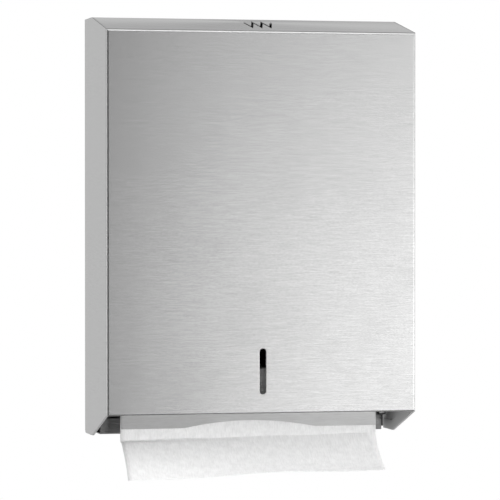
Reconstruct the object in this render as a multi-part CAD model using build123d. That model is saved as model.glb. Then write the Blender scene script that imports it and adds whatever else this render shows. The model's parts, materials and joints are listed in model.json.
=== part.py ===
from build123d import *
import os
from math import atan2, degrees, hypot

# Interfold paper towel dispenser for a wall, with a folded stainless steel cover that drops
# forward on two hinge pins when a sprung latch at the top is pressed down with a flat key.
# Millimetres. +X is right as seen from the front, -Y is the front, +Z is up and Y = 0 is the wall.
# Heights are measured from the cover's lowest edge, and every piece is shifted down at the end
# so that the origin is the centre of the wall screw pattern on the wall plane.

# Paper
TOWEL_WIDTH = 235.0
STACK_DEPTH = 83.0
STACK_HEIGHT = 34.0
STACK_FOLDS = 14
PAPER_PLY = 0.8
FOLD_BULGE = 0.33
PAPER_ROUND = 0.36
PAPER_GAP = 0.3

# Cover sheet and the room round the paper
COVER_SHEET = 0.9
TOWEL_SIDE_GAP = 2.5
SIDE_BAY = 18.2
STACK_FRONT_GAP = 5.6
STACK_REAR_GAP = 13.6
CASE_HEIGHT = 372.0
TOP_RISE = 14.0
BOTTOM_RISE = 22.0
SLOPE_RUN = 68.0
FRONT_BEND = 2.2
APEX_BEND = 2.0
REAR_CORNER = 4.0
WALL_GAP = 1.5
HEM = 9.0
WELD_FLANGE = 12.0
WELD_FLANGE_SETBACK = 5.0
SEAM_SETBACK = 6.0
SEAM_GAP = 0.4

# Slots in the cover
REFILL_SLOT_WIDTH = 6.0
REFILL_SLOT_LENGTH = 40.5
REFILL_SLOT_HEIGHT = 58.8
KEY_SLOT_X = 7.0
KEY_SLOT_SETBACK = 36.5
KEY_SLOT_DEPTH = 29.0
KEY_SLOT_PITCH = 8.4
KEY_SLOT_LEAN = 1.2
KEY_SLOT_TEETH = 3
KEY_SLOT_LINE = 2.1

# Back plate and its wall screw slots
PLATE_SHEET = 0.9
PLATE_SIDE_GAP = 3.1
PLATE_BOTTOM = 0.0
PLATE_TOP_GAP = 2.8
PLATE_FLANGE = 9.0
PLATE_TOP_FLANGE = 16.0
TRAY_DEPTH = 25.5
TRAY_LIP_TOP = 14.0
TRAY_END_GAP = 0.6
PLATE_FLANGE_START = 44.0
PLATE_FLANGE_END_GAP = 10.0
PLATE_BEND = 1.2
SCREW_SPACING_X = 203.2
SCREW_SPACING_Z = 254.0
SCREW_PATTERN_HEIGHT = 190.0
SCREW_SLOT_WIDTH = 5.5
SCREW_SLOT_LENGTH = 12.0
BEAD_X = 60.0
BEAD_WIDTH = 12.0
BEAD_LENGTH = 262.0
BEAD_RISE = 1.4
BEAD_TAPER = 40.0

# Towel guides and the two rests that leave the throat between them
GUIDE_SHEET = 0.9
GUIDE_BEND = 1.2
GUIDE_FRONT_GAP = 4.2
GUIDE_BOTTOM = 24.0
GUIDE_FRONT_HEIGHT = 62.0
GUIDE_TOP = 232.0
GUIDE_TOP_DEPTH = 26.0
GUIDE_FLANGE = 11.0
GUIDE_FLANGE_BOTTOM = 34.0
GUIDE_CORNER = 6.0
REST_SHEET = 0.9
REST_HEIGHT = 26.0
REST_BEND = 1.2
REST_FRONT_GAP = 4.1
REST_UPTURN = 8.0
REST_END_TAB = 10.0
LIP_SETBACK = 49.1
LIP_WIDTH = 234.4
LIP_BOTTOM = 6.3
SCALLOP_WIDTH = 120.0
SCALLOP_HEIGHT = 6.3
SCALLOP_BLEND = 24.0
THROAT_DEPTH = 30.0
REAR_REST_DROP = 9.0
REAR_REST_UPTURN = 14.0

# Cover hinge, named from the cover side inwards
HINGE_Y = -8.0
HINGE_Z = 7.0
EAR_SHEET = 1.5
EAR_BEND = 1.6
EAR_JOG = 6.2
EAR_WIDTH = 11.0
EAR_JOG_HEIGHT = 14.0
EAR_TOP = 36.0
FACE_GAP = 0.1
CLIP_THICKNESS = 0.8
CLIP_RADIUS = 4.2
PIN_TIP = 1.2
WASHER_THICKNESS = 0.8
WASHER_RADIUS = 5.0
HINGE_PIN_RADIUS = 2.0
PIN_HEAD_RADIUS = 3.5
PIN_HEAD_THICKNESS = 1.6
PIN_FIT = 0.03
EAR_FIT = 0.06
HINGE_BRACKET_SHEET = 1.5
HINGE_BRACKET_BEND = 1.6
HINGE_BRACKET_FOOT = 9.0
HINGE_BRACKET_BOTTOM = 2.3
HINGE_BRACKET_TOP = 22.0
HINGE_BRACKET_REACH = 6.0

# Latch
LATCH_Y = -14.0
LATCH_BELOW_TOP = 28.0
LATCH_PIN_RADIUS = 1.5
LATCH_PIN_FIT = 0.05
LATCH_BRACKET_HALF = 18.5
LATCH_BRACKET_SHEET = 1.5
LATCH_BRACKET_BEND = 1.6
LATCH_BRACKET_HEIGHT = 18.0
LATCH_EAR_REACH = 6.5
LEVER_SHEET = 1.2
LEVER_BEND = 1.3
LEVER_SIDE_GAP = 0.3
LEVER_ABOVE_PIN = 6.0
LEVER_EAR_DROP = 4.6
LEVER_RIB = 4.0
LEVER_EAR_LENGTH = 9.0
LEVER_TAIL = 7.0
LEVER_FRONT_GAP = 19.1
STOP_WIDTH = 7.0
STOP_LENGTH = 4.0
STOP_GAP = 0.3
KEEPER_SHEET = 1.2
KEEPER_BEND = 1.2
KEEPER_HALF = 12.0
KEEPER_SETBACK = 34.2
KEEPER_DROP = 9.6
KEEPER_FOOT = 22.0
CATCH_SHEET = 1.2
CATCH_BEND = 1.2
CATCH_HALF = 10.0
CATCH_GAP = 0.4
CATCH_BITE = 4.3
CATCH_RAMP = 14.0
CATCH_FOOT = 6.0
SPRING_WIRE = 0.8
SPRING_TURNS = 5
SPRING_PITCH = 1.3
SPRING_FRONT_LEG = 14.0
SPRING_REAR_ANGLE = 45.0
SPRING_SEAT_GAP = 0.3

# Leading towel, hanging out of the throat
BAND_BELOW_EDGE = 2.0
LEAD_BEND = 6.0
LEAD_FRONT = 88.0
LEAD_DROP = 36.0
LEAD_SKEW = 4.5

# Working allowances of the script
CUT_PAST = 1.0
SAME_PLACE = 0.01
POINTS_PER_TURN = 40

# Values worked out from the sizes above
GUIDE_INNER = TOWEL_WIDTH / 2 + TOWEL_SIDE_GAP
SIDE_INNER = GUIDE_INNER + GUIDE_SHEET + SIDE_BAY
CASE_HALF = SIDE_INNER + COVER_SHEET
STACK_BACK = -(PLATE_SHEET + STACK_REAR_GAP)
STACK_FRONT = STACK_BACK - STACK_DEPTH
FRONT_INNER = STACK_FRONT - STACK_FRONT_GAP
CASE_FRONT = FRONT_INNER - COVER_SHEET
FRONT_TOP = CASE_HEIGHT - TOP_RISE
APEX_Y = CASE_FRONT + SLOPE_RUN
TOP_UNDERSIDE = CASE_HEIGHT - COVER_SHEET
PLATE_HALF = SIDE_INNER - PLATE_SIDE_GAP
PLATE_TOP = TOP_UNDERSIDE - PLATE_TOP_GAP
REST_TOP = REST_HEIGHT + REST_SHEET
REST_FRONT = FRONT_INNER + REST_FRONT_GAP
LIP_FACE = CASE_FRONT + LIP_SETBACK
LIP_BACK = LIP_FACE + REST_SHEET
THROAT_BACK = LIP_BACK + THROAT_DEPTH
EAR_OUTER = SIDE_INNER - EAR_JOG
EAR_INNER = EAR_OUTER - EAR_SHEET
TRAY_HALF = EAR_INNER - TRAY_END_GAP
WASHER_OUTER = EAR_INNER - FACE_GAP
BRACKET_OUTER = WASHER_OUTER - WASHER_THICKNESS
BRACKET_INNER = BRACKET_OUTER - HINGE_BRACKET_SHEET
CLIP_INNER = EAR_OUTER + FACE_GAP
LATCH_Z = TOP_UNDERSIDE - LATCH_BELOW_TOP
LEVER_TOP = LATCH_Z + LEVER_ABOVE_PIN
LEVER_HALF = LATCH_BRACKET_HALF - LATCH_BRACKET_SHEET - LEVER_SIDE_GAP
LEVER_FRONT = FRONT_INNER + LEVER_FRONT_GAP
KEEPER_FACE = -KEEPER_SETBACK
KEEPER_BOTTOM = TOP_UNDERSIDE - KEEPER_DROP
CATCH_FACE = KEEPER_FACE - CATCH_GAP
CATCH_TOP = KEEPER_BOTTOM + CATCH_BITE
SPRING_RADIUS = LEVER_ABOVE_PIN - LEVER_SHEET - SPRING_SEAT_GAP - SPRING_WIRE / 2
BAND_FRONT = LIP_BACK + PAPER_GAP
LEAD_FACE = BAND_FRONT + PAPER_PLY + PAPER_GAP


def inset_path(points, distance):
    """Move a path to its right by a distance, keeping its corners sharp."""
    runs = []
    for (y0, z0), (y1, z1) in zip(points, points[1:]):
        length = hypot(y1 - y0, z1 - z0)
        ahead = ((y1 - y0) / length, (z1 - z0) / length)
        right = (ahead[1], -ahead[0])
        runs.append(((y0 + right[0] * distance, z0 + right[1] * distance), ahead, length))
    moved = [runs[0][0]]
    for (p, a, _), (q, b, _) in zip(runs, runs[1:]):
        turn = a[0] * b[1] - a[1] * b[0]
        along = ((q[0] - p[0]) * b[1] - (q[1] - p[1]) * b[0]) / turn
        moved.append((p[0] + a[0] * along, p[1] + a[1] * along))
    start, ahead, length = runs[-1]
    moved.append((start[0] + ahead[0] * length, start[1] + ahead[1] * length))
    return moved


def outline(points):
    """Closed flat face through a list of corners."""
    return make_face(Polyline(*points, close=True))


def bent_band(points, thickness, bend, side):
    """Cross-section of a sheet bent along a path that is its outer or inner face."""
    path = FilletPolyline(*points, radius=bend)
    return make_face(offset(path, amount=thickness, side=side, closed=True, kind=Kind.ARC))


def across(face, x_from, x_to):
    """Extrude a side-view face (y, z) from one X to another."""
    return Pos(x_from, 0, 0) * extrude(Plane.YZ * face, amount=x_to - x_from)


def upwards(face, z_from, z_to):
    """Extrude a plan-view face (x, y) from one height to another."""
    return Pos(0, 0, z_from) * extrude(Plane.XY * face, amount=z_to - z_from)


def backwards(face, y_from, y_to):
    """Extrude a front-view face (x, z) from a front Y to a rear Y."""
    return Pos(0, y_to, 0) * extrude(Plane.XZ * face, amount=y_to - y_from)


def rod_x(radius, x_from, x_to, y, z):
    """Round rod along X."""
    middle = (x_from + x_to) / 2
    return Pos(middle, y, z) * Rot(0, 90, 0) * Cylinder(radius, abs(x_to - x_from))


def edges_along_x(part, y, z):
    """Edges parallel to X at a given place in the side view."""
    found = part.edges().filter_by(Axis.X)
    return found.filter_by(lambda edge: hypot(edge.center().Y - y, edge.center().Z - z) < SAME_PLACE)


def slope_height(y):
    """Height of the sloped top's outer face at a depth."""
    return FRONT_TOP + TOP_RISE * (y - CASE_FRONT) / SLOPE_RUN


def cover_shell():
    """Front, sloped top, flat top and both full-depth sides as one folded shell."""
    outer_points = [(CASE_FRONT, BOTTOM_RISE), (CASE_FRONT, FRONT_TOP), (APEX_Y, CASE_HEIGHT),
                    (-WALL_GAP, CASE_HEIGHT), (-WALL_GAP, 0), (APEX_Y, 0)]
    outer = across(outline(outer_points), -CASE_HALF, CASE_HALF)
    bends = outer.edges().filter_by(Axis.Z).group_by(Axis.Y)[0]
    bends += edges_along_x(outer, CASE_FRONT, FRONT_TOP)
    outer = fillet(bends, FRONT_BEND)
    outer = fillet(edges_along_x(outer, APEX_Y, CASE_HEIGHT), APEX_BEND)
    outer = fillet(edges_along_x(outer, -WALL_GAP, 0), REAR_CORNER)
    beyond = CASE_HEIGHT
    skin = [(CASE_FRONT, -beyond), (CASE_FRONT, FRONT_TOP), (APEX_Y, CASE_HEIGHT), (beyond, CASE_HEIGHT)]
    hollow_points = inset_path(skin, COVER_SHEET)
    hollow = across(outline(hollow_points + [(beyond, -beyond)]), -SIDE_INNER, SIDE_INNER)
    inner_bend = FRONT_BEND - COVER_SHEET
    bends = hollow.edges().filter_by(Axis.Z).group_by(Axis.Y)[0]
    bends += edges_along_x(hollow, *hollow_points[1])
    hollow = fillet(bends, inner_bend)
    return outer - hollow


def side_hem(side):
    """Inner layer of the folded hem along a side's sloped and level bottom edges."""
    start = CASE_FRONT + COVER_SHEET
    start_height = BOTTOM_RISE * (APEX_Y - start) / SLOPE_RUN
    edge = [(-WALL_GAP - REAR_CORNER, 0), (APEX_Y, 0), (start, start_height)]
    band = outline(edge + inset_path(edge, HEM)[::-1])
    hem = across(band, SIDE_INNER - COVER_SHEET, SIDE_INNER)
    return hem if side > 0 else mirror(hem, about=Plane.YZ)


def front_hem():
    """Inner layer of the folded hem along the front panel's bottom edge."""
    low = BOTTOM_RISE * (APEX_Y - FRONT_INNER) / SLOPE_RUN
    layer = outline([(FRONT_INNER, low), (FRONT_INNER, BOTTOM_RISE + HEM),
                     (FRONT_INNER + COVER_SHEET, BOTTOM_RISE + HEM), (FRONT_INNER + COVER_SHEET, low)])
    return across(layer, COVER_SHEET - SIDE_INNER, SIDE_INNER - COVER_SHEET)


def top_path(setback):
    """Outer line of the sloped and flat top, from a setback behind the front to the rear edge."""
    start = CASE_FRONT + setback
    return [(start, slope_height(start)), (APEX_Y, CASE_HEIGHT), (-WALL_GAP, CASE_HEIGHT)]


def weld_flange(side):
    """Inward flange of a side panel, spot-welded under the sloped and flat top."""
    path = top_path(WELD_FLANGE_SETBACK)
    band = outline(inset_path(path, COVER_SHEET) + inset_path(path, 2 * COVER_SHEET)[::-1])
    flange = across(band, SIDE_INNER - WELD_FLANGE, SIDE_INNER)
    return flange if side > 0 else mirror(flange, about=Plane.YZ)


def seam_groove(side):
    """Open joint between the top sheet's side edge and the side panel."""
    path = top_path(SEAM_SETBACK)
    band = outline(inset_path(path, -COVER_SHEET) + inset_path(path, COVER_SHEET)[::-1])
    groove = across(band, SIDE_INNER - SEAM_GAP, SIDE_INNER)
    return groove if side > 0 else mirror(groove, about=Plane.YZ)


def key_slot():
    """Zigzag slot through the sloped top for the flat folded key."""
    corners = []
    for tooth in range(KEY_SLOT_TEETH):
        left = (tooth - KEY_SLOT_TEETH / 2) * KEY_SLOT_PITCH
        corners += [(left, KEY_SLOT_DEPTH / 2), (left + KEY_SLOT_LEAN, -KEY_SLOT_DEPTH / 2)]
    corners.append((KEY_SLOT_TEETH / 2 * KEY_SLOT_PITCH, KEY_SLOT_DEPTH / 2))
    middle_y = CASE_FRONT + KEY_SLOT_SETBACK
    tilt = degrees(atan2(TOP_RISE, SLOPE_RUN))
    plane = Plane(origin=(KEY_SLOT_X, middle_y, slope_height(middle_y))).rotated((tilt, 0, 0))
    line = trace(Polyline(*corners), line_width=KEY_SLOT_LINE)
    return extrude(plane * line, amount=2 * COVER_SHEET, both=True)


def refill_slot():
    """Upright round-ended slot through the front, over the top of a low stack."""
    slot = Rot(0, 0, 90) * SlotOverall(REFILL_SLOT_LENGTH, REFILL_SLOT_WIDTH)
    face = Pos(0, REFILL_SLOT_HEIGHT) * slot
    return backwards(face, CASE_FRONT - COVER_SHEET, FRONT_INNER + COVER_SHEET)


def front_cover():
    """The whole cover: shell, hems, weld flanges and slots."""
    cover = cover_shell() + front_hem()
    for side in (-1, 1):
        cover += side_hem(side)
        cover += weld_flange(side)
        cover -= seam_groove(side)
    return cover - key_slot() - refill_slot()


def hinge_ear():
    """Right ear of the cover: weld flange, jog and the round-ended leaf that turns on the pin."""
    path = [(EAR_INNER, HINGE_Z - EAR_WIDTH / 2), (EAR_INNER, EAR_JOG_HEIGHT),
            (SIDE_INNER - EAR_SHEET, EAR_JOG_HEIGHT), (SIDE_INNER - EAR_SHEET, EAR_TOP)]
    band = bent_band(path, EAR_SHEET, EAR_BEND, Side.RIGHT)
    ear = backwards(band, HINGE_Y - EAR_WIDTH / 2, HINGE_Y + EAR_WIDTH / 2)
    low_edges = ear.edges().filter_by(Axis.X).group_by(Axis.Z)[0]
    high_edges = ear.edges().filter_by(Axis.X).group_by(Axis.Z)[-1]
    ear = fillet(low_edges + high_edges, EAR_WIDTH / 2 - FACE_GAP)
    bore = rod_x(HINGE_PIN_RADIUS + EAR_FIT, EAR_INNER - CUT_PAST, EAR_OUTER + CUT_PAST, HINGE_Y, HINGE_Z)
    return ear - bore


def hinge_bracket():
    """Right bracket on the back plate that holds the hinge pin."""
    plate_face = -PLATE_SHEET
    reach = HINGE_Y - HINGE_BRACKET_REACH
    path = [(BRACKET_OUTER - HINGE_BRACKET_FOOT, plate_face), (BRACKET_OUTER, plate_face),
            (BRACKET_OUTER, reach)]
    band = bent_band(path, HINGE_BRACKET_SHEET, HINGE_BRACKET_BEND, Side.RIGHT)
    bracket = upwards(band, HINGE_BRACKET_BOTTOM, HINGE_BRACKET_TOP)
    nose = bracket.edges().filter_by(Axis.X).group_by(Axis.Y)[0]
    bracket = fillet(nose, HINGE_Z - HINGE_BRACKET_BOTTOM)
    radius = HINGE_PIN_RADIUS + PIN_FIT
    return bracket - rod_x(radius, BRACKET_INNER - CUT_PAST, BRACKET_OUTER + CUT_PAST, HINGE_Y, HINGE_Z)


def hinge_pin():
    """Right headed hinge pin, with a domed head on the inner side of the bracket."""
    tip = CLIP_INNER + CLIP_THICKNESS + PIN_TIP
    shaft = rod_x(HINGE_PIN_RADIUS, BRACKET_INNER, tip, HINGE_Y, HINGE_Z)
    head_start = BRACKET_INNER - PIN_HEAD_THICKNESS
    head = rod_x(PIN_HEAD_RADIUS, head_start, BRACKET_INNER, HINGE_Y, HINGE_Z)
    head = fillet(head.edges().filter_by(GeomType.CIRCLE).group_by(Axis.X)[0], PIN_HEAD_THICKNESS / 2)
    return shaft + head


def ring_x(outer_radius, inner_radius, x_from, x_to, y, z):
    """Flat ring about an X axis."""
    hole = rod_x(inner_radius, x_from - CUT_PAST, x_to + CUT_PAST, y, z)
    return rod_x(outer_radius, x_from, x_to, y, z) - hole


def hinge_washer():
    """Right plastic washer between the bracket and the ear."""
    return ring_x(WASHER_RADIUS, HINGE_PIN_RADIUS + EAR_FIT, BRACKET_OUTER, WASHER_OUTER, HINGE_Y, HINGE_Z)


def hinge_clip():
    """Right push-on clip that keeps the ear on the pin."""
    ring = ring_x(CLIP_RADIUS, HINGE_PIN_RADIUS, CLIP_INNER, CLIP_INNER + CLIP_THICKNESS, HINGE_Y, HINGE_Z)
    return chamfer(ring.faces().sort_by(Axis.X)[-1].outer_wire().edges(), CLIP_THICKNESS / 3)


def bead(x):
    """Outer and inner bodies of one stiffening bead pressed forwards out of the back plate."""
    middle = (PLATE_BOTTOM + PLATE_TOP) / 2
    pressed = []
    for inset in (0, PLATE_SHEET):
        pill = Rot(0, 0, 90) * SlotOverall(BEAD_LENGTH - 2 * inset, BEAD_WIDTH - 2 * inset)
        rise = extrude(Plane.XZ * (Pos(x, middle) * pill), amount=BEAD_RISE, taper=BEAD_TAPER)
        pressed.append(rise)
    return Pos(0, -PLATE_SHEET, 0) * pressed[0], pressed[1]


def back_plate():
    """Back plate: side and top flanges, beads, screw slots and the tray that hides the hinges."""
    flange_end = PLATE_TOP - PLATE_FLANGE_END_GAP
    foot_bottom = PLATE_BOTTOM + 2 * PLATE_BEND
    corners = [(-PLATE_HALF, -PLATE_FLANGE), (-PLATE_HALF, 0), (PLATE_HALF, 0),
               (PLATE_HALF, -PLATE_FLANGE)]
    channel = bent_band(corners, PLATE_SHEET, PLATE_BEND, Side.RIGHT)
    plate = upwards(channel, PLATE_FLANGE_START, flange_end)
    flat_half = PLATE_HALF - PLATE_BEND - PLATE_SHEET
    foot_top = PLATE_FLANGE_START - PLATE_BEND
    foot = outline([(-PLATE_HALF, foot_bottom), (PLATE_HALF, foot_bottom), (PLATE_HALF, foot_top),
                    (-PLATE_HALF, foot_top)])
    sheet = outline([(-flat_half, foot_bottom), (flat_half, foot_bottom), (flat_half, flange_end),
                     (-flat_half, flange_end)])
    plate += backwards(sheet, -PLATE_SHEET, 0)
    plate += backwards(foot, -PLATE_SHEET, 0)
    tray_corners = [(0, foot_bottom), (0, PLATE_BOTTOM), (-TRAY_DEPTH, PLATE_BOTTOM),
                    (-TRAY_DEPTH, TRAY_LIP_TOP)]
    tray = bent_band(tray_corners, PLATE_SHEET, PLATE_BEND, Side.RIGHT)
    plate += across(tray, -TRAY_HALF, TRAY_HALF)
    top_corners = [(0, flange_end), (0, PLATE_TOP), (-PLATE_TOP_FLANGE, PLATE_TOP)]
    top = bent_band(top_corners, PLATE_SHEET, PLATE_BEND, Side.LEFT)
    plate += across(top, -flat_half, flat_half)
    for x in (-BEAD_X, BEAD_X):
        raised, recess = bead(x)
        plate = plate + raised - recess
    for x in (-SCREW_SPACING_X / 2, SCREW_SPACING_X / 2):
        for z in (-SCREW_SPACING_Z / 2, SCREW_SPACING_Z / 2):
            slot = Pos(x, SCREW_PATTERN_HEIGHT + z) * SlotOverall(SCREW_SLOT_LENGTH, SCREW_SLOT_WIDTH)
            plate -= backwards(slot, -2 * PLATE_SHEET, PLATE_SHEET)
    return plate


def towel_guide():
    """Right side guide: a tapering wall beside the towels with a weld flange on the back plate."""
    front = FRONT_INNER + GUIDE_FRONT_GAP
    path = [(GUIDE_INNER, front), (GUIDE_INNER, -PLATE_SHEET),
            (GUIDE_INNER + GUIDE_SHEET + GUIDE_FLANGE, -PLATE_SHEET)]
    guide = upwards(bent_band(path, GUIDE_SHEET, GUIDE_BEND, Side.RIGHT), GUIDE_BOTTOM, GUIDE_TOP)
    guide_outer = GUIDE_INNER + GUIDE_SHEET
    above = GUIDE_TOP + CUT_PAST
    ahead = front - CUT_PAST
    taper = outline([(ahead, GUIDE_FRONT_HEIGHT), (front, GUIDE_FRONT_HEIGHT),
                     (-GUIDE_TOP_DEPTH, GUIDE_TOP), (-GUIDE_TOP_DEPTH, above), (ahead, above)])
    guide -= across(taper, GUIDE_INNER - CUT_PAST, guide_outer + CUT_PAST)
    below = GUIDE_BOTTOM - CUT_PAST
    below_flange = outline([(guide_outer, below), (CASE_HALF, below),
                            (CASE_HALF, GUIDE_FLANGE_BOTTOM), (guide_outer, GUIDE_FLANGE_BOTTOM)])
    guide -= backwards(below_flange, STACK_BACK, CUT_PAST)
    return fillet(edges_along_x(guide, front, GUIDE_BOTTOM), GUIDE_CORNER)


def end_tabs(y_from, y_to):
    """Upturned end tabs that weld a towel rest to both side guides."""
    tab = outline([(y_from, REST_HEIGHT), (y_to, REST_HEIGHT), (y_to, REST_TOP + REST_END_TAB),
                   (y_from, REST_TOP + REST_END_TAB)])
    right = across(tab, GUIDE_INNER - REST_SHEET, GUIDE_INNER)
    return right + mirror(right, about=Plane.YZ)


def finger_scallop():
    """Front view of what is cut from the lip's lower edge: a shallow arc with blended ends."""
    half = SCALLOP_WIDTH / 2
    reach = LIP_WIDTH / 2
    arc = ThreePointArc((-half, LIP_BOTTOM), (0, LIP_BOTTOM + SCALLOP_HEIGHT), (half, LIP_BOTTOM))
    below = Polyline((half, LIP_BOTTOM), (reach, LIP_BOTTOM), (reach, 0), (-reach, 0), (-reach, LIP_BOTTOM),
                     (-half, LIP_BOTTOM))
    face = make_face([*arc.edges(), *below.edges()])
    ends = face.vertices().filter_by(lambda point: abs(abs(point.X) - half) < SAME_PLACE)
    return fillet(ends, SCALLOP_BLEND)


def front_towel_rest():
    """Front rest: upturned front edge, level shelf and the lip that hangs down before the throat."""
    shelf_path = [(REST_FRONT, REST_TOP + REST_UPTURN), (REST_FRONT, REST_HEIGHT), (LIP_FACE, REST_HEIGHT)]
    half = GUIDE_INNER - REST_SHEET
    shelf = across(bent_band(shelf_path, REST_SHEET, REST_BEND, Side.LEFT), -half, half)
    lip_path = shelf_path + [(LIP_FACE, LIP_BOTTOM - SCALLOP_HEIGHT / 2)]
    with_lip = across(bent_band(lip_path, REST_SHEET, REST_BEND, Side.LEFT), -LIP_WIDTH / 2, LIP_WIDTH / 2)
    rest = shelf + with_lip - backwards(finger_scallop(), LIP_FACE - REST_BEND, LIP_BACK + REST_BEND)
    return rest + end_tabs(REST_FRONT + REST_UPTURN, LIP_FACE - REST_UPTURN)


def rear_towel_rest():
    """Rear rest: foot up the back plate, level shelf and a turned-down edge behind the throat."""
    edge = THROAT_BACK + REST_SHEET
    path = [(-PLATE_SHEET, REST_TOP + REAR_REST_UPTURN), (-PLATE_SHEET, REST_HEIGHT),
            (edge, REST_HEIGHT), (edge, REST_HEIGHT - REAR_REST_DROP)]
    band = bent_band(path, REST_SHEET, REST_BEND, Side.RIGHT)
    half = GUIDE_INNER - REST_SHEET
    return across(band, -half, half)


def latch_bracket():
    """U-shaped bracket on the back plate with two ears for the latch pin and a stop tongue."""
    left = KEY_SLOT_X - LATCH_BRACKET_HALF
    right = KEY_SLOT_X + LATCH_BRACKET_HALF
    reach = LATCH_Y - LATCH_EAR_REACH
    path = [(left, reach), (left, -PLATE_SHEET), (right, -PLATE_SHEET), (right, reach)]
    band = bent_band(path, LATCH_BRACKET_SHEET, LATCH_BRACKET_BEND, Side.RIGHT)
    bottom = LATCH_Z - LATCH_BRACKET_HEIGHT / 2
    bracket = upwards(band, bottom, bottom + LATCH_BRACKET_HEIGHT)
    noses = bracket.edges().filter_by(Axis.X).group_by(Axis.Y)[0]
    bracket = fillet(noses, LATCH_EAR_REACH - FACE_GAP)
    bracket -= rod_x(LATCH_PIN_RADIUS + PIN_FIT, left - CUT_PAST, right + CUT_PAST, LATCH_Y, LATCH_Z)
    stop_top = LEVER_TOP - LEVER_SHEET - STOP_GAP
    stop_bottom = stop_top - LATCH_BRACKET_SHEET
    base_face = -PLATE_SHEET - LATCH_BRACKET_SHEET
    stop_front = base_face - STOP_LENGTH
    stop = outline([(base_face, stop_bottom), (base_face, stop_top), (stop_front, stop_top),
                    (stop_front, stop_bottom)])
    stop_end = KEY_SLOT_X + LEVER_HALF - 2 * LEVER_SHEET
    return bracket + across(stop, stop_end - STOP_WIDTH, stop_end)


def latch_pin():
    """Headed pin through the bracket ears and the lever."""
    head_end = KEY_SLOT_X - LATCH_BRACKET_HALF
    tip = KEY_SLOT_X + LATCH_BRACKET_HALF + CLIP_THICKNESS + PIN_TIP
    shaft = rod_x(LATCH_PIN_RADIUS, head_end, tip, LATCH_Y, LATCH_Z)
    head = rod_x(2 * LATCH_PIN_RADIUS, head_end - LATCH_PIN_RADIUS, head_end, LATCH_Y, LATCH_Z)
    head = fillet(head.edges().filter_by(GeomType.CIRCLE).group_by(Axis.X)[0], LATCH_PIN_RADIUS / 2)
    return shaft + head


def latch_pin_clip():
    """Push-on clip on the latch pin's tip."""
    face = KEY_SLOT_X + LATCH_BRACKET_HALF
    return ring_x(2 * LATCH_PIN_RADIUS, LATCH_PIN_RADIUS, face, face + CLIP_THICKNESS, LATCH_Y, LATCH_Z)


def latch_lever():
    """Pressed channel that turns on the latch pin and reaches forwards under the key slot."""
    low = LATCH_Z - LEVER_EAR_DROP
    path = [(KEY_SLOT_X - LEVER_HALF, low), (KEY_SLOT_X - LEVER_HALF, LEVER_TOP),
            (KEY_SLOT_X + LEVER_HALF, LEVER_TOP), (KEY_SLOT_X + LEVER_HALF, low)]
    lever = backwards(bent_band(path, LEVER_SHEET, LEVER_BEND, Side.RIGHT), LEVER_FRONT, LATCH_Y + LEVER_TAIL)
    rib_bottom = LEVER_TOP - LEVER_RIB
    ear_front = LATCH_Y - LEVER_EAR_LENGTH / 2
    ahead = LEVER_FRONT - CUT_PAST
    trim = outline([(ahead, low - CUT_PAST), (ear_front - LEVER_RIB, low - CUT_PAST),
                    (ear_front - LEVER_RIB / 2, low), (ear_front - LEVER_RIB / 2, rib_bottom),
                    (ahead, rib_bottom)])
    left = KEY_SLOT_X - LATCH_BRACKET_HALF
    right = KEY_SLOT_X + LATCH_BRACKET_HALF
    lever -= across(trim, left, right)
    return lever - rod_x(LATCH_PIN_RADIUS + LATCH_PIN_FIT, left, right, LATCH_Y, LATCH_Z)


def latch_catch():
    """Bent catch on the lever: an upright face that holds the keeper and a ramp it rides over."""
    foot_top = LEVER_TOP + CATCH_SHEET
    path = [(CATCH_FACE, LEVER_TOP), (CATCH_FACE, CATCH_TOP), (CATCH_FACE - CATCH_RAMP, foot_top),
            (CATCH_FACE - CATCH_RAMP - CATCH_FOOT, foot_top)]
    band = bent_band(path, CATCH_SHEET, CATCH_BEND, Side.LEFT)
    return across(band, KEY_SLOT_X - CATCH_HALF, KEY_SLOT_X + CATCH_HALF)


def latch_keeper():
    """Keeper under the flat top of the cover: welded foot and the tab that the catch holds."""
    path = [(KEEPER_FACE + KEEPER_FOOT, TOP_UNDERSIDE), (KEEPER_FACE, TOP_UNDERSIDE),
            (KEEPER_FACE, KEEPER_BOTTOM)]
    band = bent_band(path, KEEPER_SHEET, KEEPER_BEND, Side.LEFT)
    return across(band, KEY_SLOT_X - KEEPER_HALF, KEY_SLOT_X + KEEPER_HALF)


def least_turn_gap(path):
    """Least free gap between neighbouring turns of the spring, measured on points of its path."""
    count = POINTS_PER_TURN * (SPRING_TURNS + 1)
    points = [path @ (i / count) for i in range(count + 1)]
    half_turn = POINTS_PER_TURN // 2
    spans = [(p - q).length for i, p in enumerate(points) for q in points[i + half_turn:]]
    return min(spans) - SPRING_WIRE


def latch_spring():
    """Torsion spring round the latch pin, one leg under the lever and one against the bracket."""
    turned = SPRING_TURNS + SPRING_REAR_ANGLE / 360
    length = turned * SPRING_PITCH
    helix = Helix(pitch=SPRING_PITCH, height=length, radius=SPRING_RADIUS, direction=(1, 0, 0))
    path = Rot(-SPRING_REAR_ANGLE, 0, 0) * helix
    print("least gap between spring turns", round(least_turn_gap(path), 2))
    wire = Circle(SPRING_WIRE / 2)
    front = Plane(origin=path @ 1, z_dir=path % 1)
    rear = Plane(origin=path @ 0, z_dir=-(path % 0))
    base_face = -PLATE_SHEET - LATCH_BRACKET_SHEET
    room = base_face - LATCH_Y - rear.origin.Y - SPRING_WIRE / 2 - SPRING_SEAT_GAP
    spring = sweep(-rear * wire, path=path)
    spring += extrude(front * wire, amount=SPRING_FRONT_LEG)
    spring += extrude(rear * wire, amount=room / rear.z_dir.Y)
    return Pos(KEY_SLOT_X - length / 2, LATCH_Y, LATCH_Z) * spring


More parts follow.
